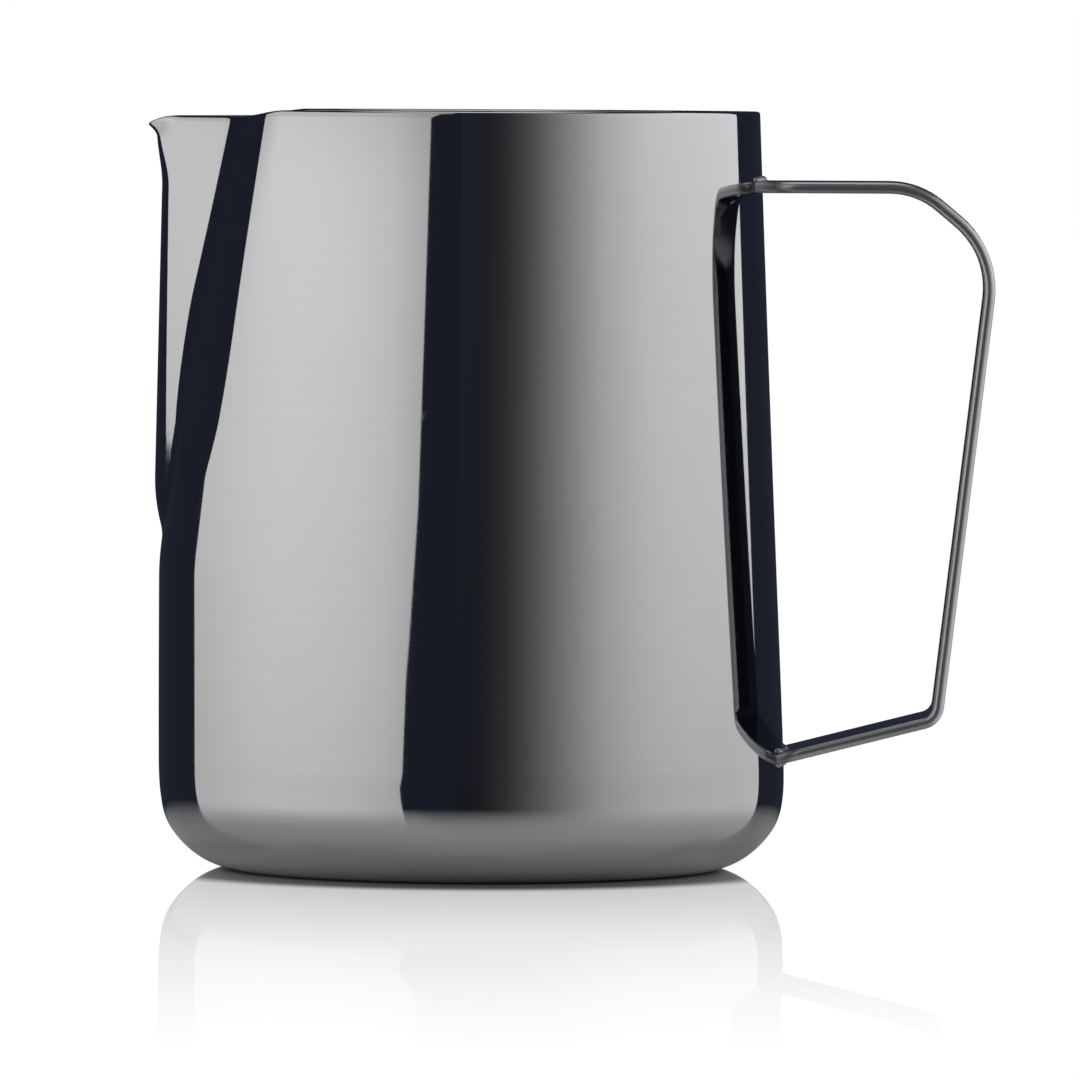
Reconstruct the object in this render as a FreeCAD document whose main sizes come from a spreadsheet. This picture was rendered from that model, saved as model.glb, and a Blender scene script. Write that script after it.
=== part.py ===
"""Milk frothing pitcher: a deep-drawn steel cup with a pressed spout and a welded strap handle.

Frame, in millimetres: +Z is up, the origin is the centre of the flat base on the cup's axis,
the spout points along -X and the handle lies along +X. The XZ plane is the mirror plane.
"""
import FreeCAD, Part
import math
import os
import Sketcher
from FreeCAD import Vector

os.makedirs("parts", exist_ok=True)
doc = FreeCAD.newDocument("milk_pitcher")

# ---------------------------------------------------------------- driving dimensions
DIMENSIONS = [
    # cup, turned profile of the outside
    ("cup_height", 109.3, "flat rim above the base"),
    ("wall", 1.0, "sheet thickness"),
    ("belly_radius", 45.17, "largest outside radius"),
    ("belly_height", 14.0, "height of the largest radius"),
    ("rim_radius", 41.13, "outside radius at the rim"),
    ("side_hollow", 0.12, "how far the straight taper bows inwards"),
    ("foot_radius", 33.75, "radius of the base's flat"),
    ("corner_width", 12.7, "flat of the base to the full width of its corner"),
    ("corner_height", 16.0, "height of the base's corner"),
    ("rim_edge_radius", 0.2, "rounding of the rim's two edges"),
    # spout, pressed outwards from the side wall
    ("notch_height", 48.6, "lowest point of the spout"),
    ("nose_radius_top", 44.89, "axis to the spout's ridge below the lip"),
    ("nose_radius_low", 46.16, "axis to the spout's ridge near the notch"),
    ("flank_angle_top", 35.5, "flank normal from the spout's axis at the rim, degrees"),
    ("flank_angle_low", 31.0, "the same near the notch, degrees"),
    ("sharpen_start", 98.3, "base to where the nose starts to sharpen"),
    ("sharpen_end", 106.5, "base to where it is sharpest"),
    ("sharpen_amount", 3.76, "how much narrower the nose's blend is there"),
    ("curl_start", 105.3, "base to where the lip's tip starts to curl out"),
    ("curl_height", 4.0, "height over which the curl is worked out, beyond the rim"),
    ("curl_reach", 3.1, "how far the full curl would stand out"),
    ("curl_width", 3.5, "angle over which the curl fades to each side"),
    ("facet_angle", 24.0, "normal of the flat beside the spout, degrees from its axis"),
    ("facet_depth", 3.15, "depth of that flat at the rim"),
    ("facet_start", 52.0, "height at which that flat starts"),
    ("bulge_start", 10.0, "height at which the wall below the spout starts to stand out"),
    ("bulge_slope", 0.045, "growth of that bulge with height"),
    ("bulge_width", 28.0, "half width of that bulge, degrees"),
    ("rim_dip", 0.93, "how far the rim drops at the spout"),
    ("dip_start", 26.0, "axis to the start of the dip"),
    ("dip_end", 33.2, "axis to the bottom of the dip"),
    ("tip_drop", 0.95, "how much lower the lip's tip is than the dip"),
    ("tip_drop_start", 43.3, "axis to the start of the tip's drop"),
    ("tip_reach", 47.6, "axis to the lip's tip"),
    # handle, one bent strap, given along the middle of its thickness
    ("strap_root", 30.0, "axis to the ends of the strap before it is cut to the wall"),
    ("strap_width", 18.0, "across the strap"),
    ("strap_thickness", 1.7, "thickness of the strap"),
    ("strap_edge_radius", 0.6, "rounding of its long edges"),
    ("upper_arm_height", 98.5, "height of the level upper arm"),
    ("shoulder_reach", 63.9, "axis to the corner of arm and diagonal"),
    ("elbow_reach", 74.95, "axis to the corner of diagonal and grip"),
    ("elbow_height", 89.25, "height of that corner"),
    ("heel_reach", 67.0, "axis to the corner of grip and lower arm"),
    ("heel_height", 22.15, "height of that corner"),
    ("lower_joint_height", 16.55, "where the lower arm meets the wall"),
    ("lower_joint_reach", 44.9, "axis to that point"),
    ("shoulder_bend", 11.2, "bend radius at the shoulder"),
    ("elbow_bend", 12.7, "bend radius at the elbow"),
    ("heel_bend", 2.7, "bend radius at the heel"),
    # weld runs along the joints
    ("weld_size", 0.75, "leg of the bead at the upper joint"),
    ("weld_size_low", 0.6, "leg of the beads at the lower joint"),
    ("weld_inset", 0.7, "strap edge to the end of each bead"),
]

sheet = doc.addObject("Spreadsheet::Sheet", "sizes")
for row, (alias, value, note) in enumerate(DIMENSIONS, start=1):
    sheet.set("A%d" % row, alias)
    sheet.set("B%d" % row, str(value))
    sheet.set("C%d" % row, note)
    sheet.setAlias("B%d" % row, alias)
doc.recompute()


def size(alias):
    """A driving dimension, read back from the sheet."""
    return float(getattr(sheet, alias))


# ---------------------------------------------------------------- shape of the cup's outside
def soft_min(first, second, width):
    """The smaller of two lengths, blended where they differ by less than width."""
    overlap = max(width - abs(first - second), 0.0) / width
    return min(first, second) - overlap * overlap * width / 4.0


def soft_max(first, second, width):
    return -soft_min(-first, -second, width)


def smooth_step(share):
    """Rise from 0 to 1 with level ends."""
    share = min(max(share, 0.0), 1.0)
    return share * share * (3.0 - 2.0 * share)


BASE_BLEND = 2.2


def taper_radius(height, inset=0.0):
    """Radius of the round wall and its base corner, moved in by inset."""
    share = (height - size("belly_height")) / (size("cup_height") - size("belly_height"))
    straight = size("belly_radius") + share * (size("rim_radius") - size("belly_radius"))
    side = straight - 4.0 * size("side_hollow") * share * (1.0 - share) - inset
    drop = max(size("corner_height") - height, 0.0) / (size("corner_height") - inset)
    corner = size("foot_radius") + (size("corner_width") - inset) * math.sqrt(max(1.0 - drop * drop, 0.0))
    return soft_min(corner, side, BASE_BLEND)


SHOULDER_BLEND = 1.2
CREASE_BLEND = 0.45
NOSE_BLEND_TOP = 6.04
NOSE_BLEND_LOW = 9.16
FADE_HEIGHT = 8.0
FADE_DEPTH = 1.25
BULGE_FALL = 0.075
BULGE_TOP_BELOW_NOTCH = 4.5
BULGE_BLEND = 0.3
FACET_CURVE = 1.3
FACET_TURN_LIMIT = 1.2
SPOUT_HALF_SPAN = math.radians(75.0)
SPOUT_BELOW_NOTCH = 12.0


def front_bulge(angle, height):
    """Stand-out of the wall under the spout, where the press has drawn it forwards."""
    top = size("notch_height") - BULGE_TOP_BELOW_NOTCH
    peak = size("bulge_slope") * (top - size("bulge_start"))
    rising = size("bulge_slope") * (height - size("bulge_start"))
    falling = peak - BULGE_FALL * (height - top)
    amount = max(soft_min(rising, falling, BULGE_BLEND), 0.0)
    return amount * math.exp(-(math.degrees(angle) / size("bulge_width")) ** 2)


def wall_beside_spout(angle, height):
    """Round wall with its bulge, and the pressed flat on each side of the spout."""
    round_wall = taper_radius(height)
    bulge = front_bulge(angle, height)
    share = (height - size("facet_start")) / (size("cup_height") - size("facet_start"))
    if share <= 0.0:
        return round_wall + bulge
    turn = abs(angle) - math.radians(size("facet_angle"))
    turn = max(min(turn, FACET_TURN_LIMIT), -FACET_TURN_LIMIT)
    depth = size("facet_depth") * share ** FACET_CURVE
    flat = (round_wall - depth) / math.cos(turn)
    return soft_min(round_wall, flat, SHOULDER_BLEND * smooth_step(2.0 * share)) + bulge


def spout_radius(angle, height):
    """Two flat flanks that meet in a rounded nose, sharper at the rim, with a curled tip."""
    low = size("notch_height")
    share = (height - low) / (size("cup_height") - low)
    flank = math.radians(size("flank_angle_low")
                         + share * (size("flank_angle_top") - size("flank_angle_low")))
    blend = NOSE_BLEND_LOW + share * (NOSE_BLEND_TOP - NOSE_BLEND_LOW)
    nose = size("nose_radius_low") + share * (size("nose_radius_top") - size("nose_radius_low"))
    below = max(low + FADE_HEIGHT - height, 0.0) / FADE_HEIGHT
    nose -= FADE_DEPTH * below * below
    distance = (nose + blend / 4.0) * math.cos(flank)
    rise = (height - size("sharpen_start")) / (size("sharpen_end") - size("sharpen_start"))
    blend -= size("sharpen_amount") * smooth_step(rise)
    curl = size("curl_reach") * smooth_step((height - size("curl_start")) / size("curl_height"))
    curl *= math.exp(-(math.degrees(angle) / size("curl_width")) ** 2)

    def flank_radius(side):
        turn = side * angle - flank
        return distance / math.cos(turn) if turn < 0.0 else distance

    near, far = flank_radius(1.0), flank_radius(-1.0)
    return soft_min(near, far, blend) + curl


def cup_radius(angle, height):
    """Outside radius at an angle from the spout's axis."""
    wall = wall_beside_spout(angle, height)
    if abs(angle) > SPOUT_HALF_SPAN or height < size("notch_height") - SPOUT_BELOW_NOTCH:
        return wall
    return soft_max(wall, spout_radius(angle, height), CREASE_BLEND)


# ---------------------------------------------------------------- the cup as a solid
SPARE = 3.0  # how far the blanks stand above the rim before it is cut


def section_angles():
    """Angles from the spout's axis, close together across the spout, once around."""
    fine = [math.radians(1.25 * step) for step in range(-44, 45)]
    coarse = [math.radians(55.0 + 250.0 * step / 50.0) for step in range(1, 50)]
    return fine + coarse


def section_levels(inset, top):
    """Heights of the level sections, from the flat of the base upwards."""
    corner = size("corner_height")
    turns = 14
    levels = [corner - (corner - inset) * math.cos(math.pi / 2 * step / turns)
              for step in range(turns + 1)]
    low = size("notch_height")
    height = corner
    while height < top - 0.01:
        distance = abs(height + 0.5 - low)
        if distance < 4.0 or height > size("curl_start") - 1.0:
            step = 0.6
        elif distance < 10.0 or height > size("sharpen_start") - 2.0:
            step = 1.5
        else:
            step = 3.0
        height = min(height + step, top)
        levels.append(height)
    return levels


def section_radius(angle, height, inset):
    """Radius of the formed side at one level, moved in by inset."""
    return cup_radius(angle, height) - taper_radius(height) + taper_radius(height, inset)


def side_surface(inset, top):
    """Smooth surface through level sections of the side, moved in by inset."""
    angles = section_angles()
    span = [angle - angles[0] for angle in angles] + [2.0 * math.pi]
    sections = []
    travel = [0.0]
    last = None
    for height in section_levels(inset, top):
        points = []
        for angle in angles:
            turned = angle if angle < math.pi else angle - 2.0 * math.pi
            radius = section_radius(turned, height, inset)
            points.append(Vector(-radius * math.cos(angle), -radius * math.sin(angle), height))
        section = Part.BSplineCurve()
        section.interpolate(Points=points, PeriodicFlag=True, Parameters=span)
        sections.append(section)
        here = Vector(section_radius(math.pi, height, inset), 0, height)
        if last is not None:
            travel.append(travel[-1] + (here - last).Length)
        last = here
    grid = []
    for index in range(sections[0].NbPoles):
        rib = Part.BSplineCurve()
        rib.interpolate(Points=[section.getPole(index + 1) for section in sections], Parameters=travel)
        grid.append(rib.getPoles())
    around = sections[0]
    surface = Part.BSplineSurface()
    surface.buildFromPolesMultsKnots(grid, around.getMultiplicities(), rib.getMultiplicities(),
                                     around.getKnots(), rib.getKnots(), True, False,
                                     around.Degree, rib.Degree)
    return surface


def cup_blank(inset):
    """Filled cup without its rim cut, moved in by inset."""
    side = side_surface(inset, size("cup_height") + SPARE).toShape()
    ends = [Part.Face(Part.Wire([edge])) for edge in side.Edges
            if edge.BoundBox.ZMax - edge.BoundBox.ZMin < 0.01]
    shell = Part.makeShell([side] + ends)
    shell.sewShape()
    solid = Part.makeSolid(shell)
    solid.fix(1e-6, 1e-6, 1e-6)
    if solid.Volume < 0.0:
        solid.reverse()
    return solid


def rim_height(reach):
    """Height of the rim at a distance from the axis towards the spout."""
    height = size("cup_height")
    share = (reach - size("dip_start")) / (size("dip_end") - size("dip_start"))
    height -= size("rim_dip") * smooth_step(share)
    beyond = max(reach - size("tip_drop_start"), 0.0) / (size("tip_reach") - size("tip_drop_start"))
    return height - size("tip_drop") * beyond * beyond


RIM_LINE_START = 20.0
RIM_LINE_STEPS = 33
CUTTER_REACH = 60.0


def rim_cutter():
    """Everything above the rim line, as one block across the cup."""
    reaches = [RIM_LINE_START + step for step in range(RIM_LINE_STEPS)]
    points = [Vector(-reach, 0, rim_height(reach)) for reach in reaches]
    line = Part.BSplineCurve()
    line.interpolate(Points=points)
    outer = CUTTER_REACH
    roof = size("cup_height") + 2.0 * SPARE
    corners = [points[-1], Vector(points[-1].x, 0, roof), Vector(outer, 0, roof),
               Vector(outer, 0, size("cup_height")), points[0]]
    outline = [line.toShape()]
    outline += [Part.LineSegment(start, end).toShape() for start, end in zip(corners, corners[1:])]
    block = Part.Face(Part.Wire(outline)).extrude(Vector(0, 2.0 * outer, 0))
    block.translate(Vector(0, -outer, 0))
    return block


def build_cup(envelope):
    """Hollow cup with its rim cut to the spout's outline and both rim edges rounded."""
    cup = envelope.cut(cup_blank(size("wall"))).cut(rim_cutter()).Solids[0]
    lowest = rim_height(size("tip_reach")) - 2.0
    rim = [edge for edge in cup.Edges if edge.BoundBox.ZMin > lowest and edge.Length > 3.0]
    return cup.makeFillet(size("rim_edge_radius"), rim)


envelope = doc.addObject("Part::Feature", "cup_envelope")
envelope.Label = "cup_envelope"
envelope.Shape = cup_blank(0.0)
envelope.Placement = FreeCAD.Placement()

cup = doc.addObject("Part::Feature", "pitcher_body")
cup.Label = "pitcher_body"
cup.Shape = build_cup(envelope.Shape)
cup.Placement = FreeCAD.Placement()


# ---------------------------------------------------------------- the strap handle
def origin_plane(body, role):
    """One of a body's own origin planes."""
    return [part for part in body.Origin.OriginFeatures if part.Role == role][0]


def bend(before, corner, after, radius):
    """Tangent points and arc of a clockwise bend between two straight runs."""
    back = (before - corner).normalize()
    ahead = (after - corner).normalize()
    half = back.getAngle(ahead) / 2.0
    reach = radius / math.tan(half)
    start = corner + back * reach
    end = corner + ahead * reach
    centre = corner + (back + ahead).normalize() * (radius / math.sin(half))
    angles = [math.atan2(point.y - centre.y, point.x - centre.x) for point in (end, start)]
    circle = Part.Circle(centre, Vector(0, 0, 1), radius)
    return start, end, Part.ArcOfCircle(circle, angles[0], angles[1])


def build_strap_path(body):
    """Sketch of the strap's middle line, from inside the upper wall to inside the lower wall."""
    sketch = body.newObject("Sketcher::SketchObject", "strap_path")
    sketch.AttachmentSupport = (origin_plane(body, "XZ_Plane"), "")
    sketch.MapMode = "FlatFace"
    arm = size("upper_arm_height")
    slope = (size("heel_height") - size("lower_joint_height")) \
        / (size("heel_reach") - size("lower_joint_reach"))
    depth = size("strap_root")
    corners = [Vector(depth, arm, 0),
               Vector(size("shoulder_reach"), arm, 0),
               Vector(size("elbow_reach"), size("elbow_height"), 0),
               Vector(size("heel_reach"), size("heel_height"), 0),
               Vector(depth, size("lower_joint_height") - slope * (size("lower_joint_reach") - depth), 0)]
    radii = ["shoulder_bend", "elbow_bend", "heel_bend"]
    start = corners[0]
    lines = []
    arcs = []
    for index, alias in enumerate(radii, start=1):
        first, last, arc = bend(corners[index - 1], corners[index], corners[index + 1], size(alias))
        lines.append(sketch.addGeometry(Part.LineSegment(start, first)))
        arcs.append(sketch.addGeometry(arc))
        start = last
    lines.append(sketch.addGeometry(Part.LineSegment(start, corners[-1])))
    for index, arc in enumerate(arcs):
        sketch.addConstraint(Sketcher.Constraint("Tangent", lines[index], 2, arc, 2))
        sketch.addConstraint(Sketcher.Constraint("Tangent", arc, 1, lines[index + 1], 1))
        bind(sketch, Sketcher.Constraint("Radius", arc, size(radii[index])), radii[index])
        marker = sketch.addGeometry(Part.Point(corners[index + 1]), True)
        sketch.addConstraint(Sketcher.Constraint("PointOnObject", marker, 1, lines[index]))
        sketch.addConstraint(Sketcher.Constraint("PointOnObject", marker, 1, lines[index + 1]))
        across = ["shoulder_reach", "elbow_reach", "heel_reach"][index]
        upwards = ["upper_arm_height", "elbow_height", "heel_height"][index]
        bind(sketch, Sketcher.Constraint("DistanceX", -1, 1, marker, 1, size(across)), across)
        bind(sketch, Sketcher.Constraint("DistanceY", -1, 1, marker, 1, size(upwards)), upwards)
    bind(sketch, Sketcher.Constraint("DistanceX", -1, 1, lines[0], 1, depth), "strap_root")
    sketch.addConstraint(Sketcher.Constraint("Horizontal", lines[0]))
    joint = sketch.addGeometry(Part.Point(Vector(size("lower_joint_reach"),
                                                 size("lower_joint_height"), 0)), True)
    sketch.addConstraint(Sketcher.Constraint("PointOnObject", joint, 1, lines[-1]))
    bind(sketch, Sketcher.Constraint("DistanceX", -1, 1, joint, 1, size("lower_joint_reach")),
         "lower_joint_reach")
    bind(sketch, Sketcher.Constraint("DistanceY", -1, 1, joint, 1, size("lower_joint_height")),
         "lower_joint_height")
    bind(sketch, Sketcher.Constraint("DistanceX", -1, 1, lines[-1], 2, depth), "strap_root")
    return sketch


def bind(sketch, constraint, alias):
    """Add a dimension to a sketch and tie it to the sheet."""
    index = sketch.addConstraint(constraint)
    sketch.setExpression("Constraints[%d]" % index, "<<sizes>>.%s" % alias)


def build_strap_section(body):
    """Sketch of the strap's cross-section at the root of the upper arm: a rounded oblong."""
    sketch = body.newObject("Sketcher::SketchObject", "strap_section")
    sketch.AttachmentSupport = (origin_plane(body, "YZ_Plane"), "")
    sketch.MapMode = "FlatFace"
    sketch.AttachmentOffset = FreeCAD.Placement(Vector(0, 0, size("strap_root")), FreeCAD.Rotation())
    sketch.setExpression("AttachmentOffset.Base.z", "<<sizes>>.strap_root")
    half_width = size("strap_width") / 2.0
    half_depth = size("strap_thickness") / 2.0
    arm = size("upper_arm_height")
    corners = [Vector(-half_width, arm - half_depth, 0), Vector(half_width, arm - half_depth, 0),
               Vector(half_width, arm + half_depth, 0), Vector(-half_width, arm + half_depth, 0)]
    for start, end in zip(corners, corners[1:] + corners[:1]):
        sketch.addGeometry(Part.LineSegment(start, end))
    for side in range(4):
        sketch.addConstraint(Sketcher.Constraint("Coincident", side, 2, (side + 1) % 4, 1))
    for side in (0, 2):
        sketch.addConstraint(Sketcher.Constraint("Horizontal", side))
    for side in (1, 3):
        sketch.addConstraint(Sketcher.Constraint("Vertical", side))
    middle = sketch.addGeometry(Part.Point(Vector(0, arm, 0)), True)
    sketch.addConstraint(Sketcher.Constraint("Symmetric", 0, 1, 1, 2, middle, 1))
    sketch.addConstraint(Sketcher.Constraint("PointOnObject", middle, 1, -2))
    bind(sketch, Sketcher.Constraint("DistanceY", -1, 1, middle, 1, arm), "upper_arm_height")
    bind(sketch, Sketcher.Constraint("DistanceX", 0, 1, 0, 2, 2.0 * half_width), "strap_width")
    bind(sketch, Sketcher.Constraint("DistanceY", 1, 1, 1, 2, 2.0 * half_depth), "strap_thickness")
    return sketch


strap = doc.addObject("PartDesign::Body", "strap_blank")
strap.Label = "strap_blank"
doc.recompute()
path = build_strap_path(strap)
section = build_strap_section(strap)
doc.recompute()
sweep = strap.newObject("PartDesign::AdditivePipe", "strap_sweep")
sweep.Profile = section
sweep.Spine = path
sweep.Mode = "Frenet"
doc.recompute()
half_width = size("strap_width") / 2.0
long_edges = ["Edge%d" % index for index, edge in enumerate(sweep.Shape.Edges, start=1)
              if abs(edge.BoundBox.YMax - edge.BoundBox.YMin) < 0.01
              and edge.Length > size("strap_thickness") + 0.1]
rounding = strap.newObject("PartDesign::Fillet", "strap_rounding")
rounding.Base = (sweep, long_edges)
rounding.setExpression("Radius", "<<sizes>>.strap_edge_radius")
doc.recompute()

handle = doc.addObject("Part::Cut", "handle_strap")
handle.Label = "handle_strap"
handle.Base = strap
handle.Tool = envelope
doc.recompute()


# ---------------------------------------------------------------- the weld runs
WINDOW_BEHIND = 0.25  # share of the strap's thickness that the window reaches into it


def add_weld(name, leg, height, upwards):
    """Quarter-round bead in the corner between the wall and one face of the strap."""
    ring = doc.addObject("Part::Torus", name + "_ring")
    ring.Radius1 = taper_radius(height)
    ring.setExpression("Radius2", "<<sizes>>.%s" % leg)
    ring.Placement = FreeCAD.Placement(Vector(0, 0, height), FreeCAD.Rotation())
    window = doc.addObject("Part::Box", name + "_window")
    window.Length = size("belly_radius")
    window.setExpression("Width", "<<sizes>>.strap_width - 2 * <<sizes>>.weld_inset")
    window.Height = 2.0 * size("strap_thickness")
    window_low = WINDOW_BEHIND if upwards else 2.0 - WINDOW_BEHIND
    corner = Vector(size("belly_radius") / 2.0, size("weld_inset") - half_width,
                    height - window_low * size("strap_thickness"))
    window.Placement = FreeCAD.Placement(corner, FreeCAD.Rotation())
    run = doc.addObject("Part::Common", name + "_run")
    run.Base = ring
    run.Tool = window
    clear_of_wall = doc.addObject("Part::Cut", name + "_on_wall")
    clear_of_wall.Base = run
    clear_of_wall.Tool = envelope
    bead = doc.addObject("Part::Cut", name)
    bead.Label = name
    bead.Base = clear_of_wall
    bead.Tool = handle
    return bead


half_depth = size("strap_thickness") / 2.0
upper_weld = add_weld("upper_weld", "weld_size", size("upper_arm_height") + half_depth, True)
lower_weld_top = add_weld("lower_weld_top", "weld_size_low", size("lower_joint_height") + half_depth, True)
lower_weld_under = add_weld("lower_weld_under", "weld_size_low",
                            size("lower_joint_height") - half_depth, False)
doc.recompute()


# ---------------------------------------------------------------- checks and export
for item in doc.Objects:
    if "Invalid" in item.State or "Error" in item.State:
        raise RuntimeError("%s did not build: %s" % (item.Label, item.State))
for item in (cup, handle, upper_weld, lower_weld_top, lower_weld_under):
    shape = item.Shape
    if shape.isNull() or not shape.isValid() or len(shape.Solids) != 1:
        raise RuntimeError("%s has no single valid solid" % item.Label)
    shape.exportStep("parts/%s.step" % item.Label)
    box = shape.BoundBox
    print("%-18s %9.1f mm3  x %.2f..%.2f  y %.2f..%.2f  z %.2f..%.2f"
          % (item.Label, shape.Volume, box.XMin, box.XMax, box.YMin, box.YMax, box.ZMin, box.ZMax))
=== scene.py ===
import math
import bpy
import numpy as np
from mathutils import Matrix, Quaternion, Vector


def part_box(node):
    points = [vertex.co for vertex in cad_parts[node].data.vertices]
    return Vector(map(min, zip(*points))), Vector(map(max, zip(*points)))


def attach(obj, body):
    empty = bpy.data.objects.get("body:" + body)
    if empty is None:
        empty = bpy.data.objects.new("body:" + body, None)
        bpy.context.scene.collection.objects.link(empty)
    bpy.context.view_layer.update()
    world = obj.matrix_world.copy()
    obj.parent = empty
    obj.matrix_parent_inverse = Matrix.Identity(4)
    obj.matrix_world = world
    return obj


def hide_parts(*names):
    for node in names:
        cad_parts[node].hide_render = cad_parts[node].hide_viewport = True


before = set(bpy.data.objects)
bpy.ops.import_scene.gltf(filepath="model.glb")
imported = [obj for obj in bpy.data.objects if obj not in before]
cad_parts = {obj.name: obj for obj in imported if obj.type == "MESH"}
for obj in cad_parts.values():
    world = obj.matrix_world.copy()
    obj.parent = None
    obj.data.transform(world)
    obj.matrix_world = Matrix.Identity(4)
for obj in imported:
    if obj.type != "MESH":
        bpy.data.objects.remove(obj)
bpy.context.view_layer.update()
cup_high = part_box("pitcher_body")[1]

MM = 0.001

# The cup's outside, in millimetres and radians, as the CAD holds it.
RIM = cup_high.z / MM
WALL = 1.0
BELLY_RADIUS = 45.17
BELLY_HEIGHT = 14.0
RIM_RADIUS = 41.13
SIDE_HOLLOW = 0.12
FOOT_RADIUS = 33.75
CORNER_WIDTH = 12.7
CORNER_HEIGHT = 16.0
BASE_BLEND = 2.2
EDGE_RADIUS = 0.42
SKIN = 0.012  # how far the mesh stays inside the CAD's surface
NOTCH = 48.6
NOSE_TOP = 44.89
NOSE_LOW = 46.16
FLANK_TOP = math.radians(35.5)
FLANK_LOW = math.radians(31.0)
SHARPEN_START = 98.3
SHARPEN_END = 106.5
SHARPEN_AMOUNT = 3.76
CURL_START = 105.3
CURL_HEIGHT = 4.0
CURL_REACH = 3.1
CURL_WIDTH = math.radians(3.5)
SPOUT_HALF_SPAN = math.radians(75.0)
SPOUT_BELOW_NOTCH = 12.0
FLANK_TURN_LIMIT = 1.5
FACET_ANGLE = math.radians(24.0)
FACET_DEPTH = 3.15
FACET_START = 52.0
FACET_CURVE = 1.3
FACET_TURN_LIMIT = 1.2
BULGE_START = 10.0
BULGE_SLOPE = 0.045
BULGE_WIDTH = math.radians(28.0)
BULGE_TOP_BELOW_NOTCH = 4.5
BULGE_TOP = NOTCH - BULGE_TOP_BELOW_NOTCH
BULGE_FALL = 0.075
BULGE_BLEND = 0.3
SHOULDER_BLEND = 1.2
CREASE_BLEND = 0.45
LEAST_BLEND = 1e-9
NOSE_BLEND_TOP = 6.04
NOSE_BLEND_LOW = 9.16
FADE_HEIGHT = 8.0
FADE_DEPTH = 1.25
RIM_DIP = 0.93
DIP_START = 26.0
DIP_END = 33.2
TIP_DROP = 0.95
TIP_DROP_START = 43.3
TIP_REACH = 47.6


def soft_min(first, second, width):
    """The smaller of two lengths, blended where they differ by less than width."""
    overlap = np.maximum(width - np.abs(first - second), 0.0) / width
    return np.minimum(first, second) - overlap * overlap * width / 4.0


def soft_max(first, second, width):
    """The larger of two lengths, blended in the same way."""
    return -soft_min(-first, -second, width)


def smooth_step(share):
    """Rise from 0 to 1 with level ends."""
    share = np.clip(share, 0.0, 1.0)
    return share * share * (3.0 - 2.0 * share)


def taper_radius(height, inset=0.0):
    """Radius of the round wall and its base corner, moved in by inset."""
    share = (height - BELLY_HEIGHT) / (RIM - BELLY_HEIGHT)
    straight = BELLY_RADIUS + share * (RIM_RADIUS - BELLY_RADIUS)
    side = straight - 4.0 * SIDE_HOLLOW * share * (1.0 - share) - inset
    drop = np.maximum(CORNER_HEIGHT - height, 0.0) / (CORNER_HEIGHT - inset)
    corner = FOOT_RADIUS + (CORNER_WIDTH - inset) * np.sqrt(np.maximum(1.0 - drop * drop, 0.0))
    return soft_min(corner, side, BASE_BLEND)


def wall_beside_spout(angle, height):
    """Round wall with the bulge under the spout, and the pressed flat on each side of it."""
    rising = BULGE_SLOPE * (height - BULGE_START)
    falling = BULGE_SLOPE * (BULGE_TOP - BULGE_START) - BULGE_FALL * (height - BULGE_TOP)
    ridge = np.maximum(soft_min(rising, falling, BULGE_BLEND), 0.0)
    bulge = ridge * np.exp(-(angle / BULGE_WIDTH) ** 2)
    round_wall = taper_radius(height)
    share = np.maximum((height - FACET_START) / (RIM - FACET_START), 0.0)
    turn = np.clip(np.abs(angle) - FACET_ANGLE, -FACET_TURN_LIMIT, FACET_TURN_LIMIT)
    flat = (round_wall - FACET_DEPTH * share ** FACET_CURVE) / np.cos(turn)
    blend = np.maximum(SHOULDER_BLEND * smooth_step(2.0 * share), LEAST_BLEND)
    return np.where(share > 0.0, soft_min(round_wall, flat, blend), round_wall) + bulge


def spout_radius(angle, height):
    """Two flat flanks that meet in a rounded nose, sharper at the rim, with a curled tip."""
    share = (height - NOTCH) / (RIM - NOTCH)
    flank = FLANK_LOW + share * (FLANK_TOP - FLANK_LOW)
    blend = NOSE_BLEND_LOW + share * (NOSE_BLEND_TOP - NOSE_BLEND_LOW)
    nose = NOSE_LOW + share * (NOSE_TOP - NOSE_LOW)
    below = np.maximum(NOTCH + FADE_HEIGHT - height, 0.0) / FADE_HEIGHT
    nose = nose - FADE_DEPTH * below * below
    distance = (nose + blend / 4.0) * np.cos(flank)
    sharper = smooth_step((height - SHARPEN_START) / (SHARPEN_END - SHARPEN_START))
    blend = blend - SHARPEN_AMOUNT * sharper
    curl = CURL_REACH * smooth_step((height - CURL_START) / CURL_HEIGHT)
    curl = curl * np.exp(-(angle / CURL_WIDTH) ** 2)

    def flank_radius(turn):
        return np.where(turn < 0.0, distance / np.cos(np.maximum(turn, -FLANK_TURN_LIMIT)), distance)

    return soft_min(flank_radius(angle - flank), flank_radius(-angle - flank), blend) + curl


def cup_radius(angle, height):
    """Outside radius at an angle from the spout's axis."""
    wall = wall_beside_spout(angle, height)
    spout = soft_max(wall, spout_radius(angle, height), CREASE_BLEND)
    far = (np.abs(angle) > SPOUT_HALF_SPAN) | (height < NOTCH - SPOUT_BELOW_NOTCH)
    return np.where(far, wall, spout)


def rim_height(reach):
    """Height of the rim at a distance from the axis towards the spout."""
    dip = RIM_DIP * smooth_step((reach - DIP_START) / (DIP_END - DIP_START))
    beyond = np.maximum(reach - TIP_DROP_START, 0.0) / (TIP_REACH - TIP_DROP_START)
    return RIM - dip - TIP_DROP * beyond * beyond


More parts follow.
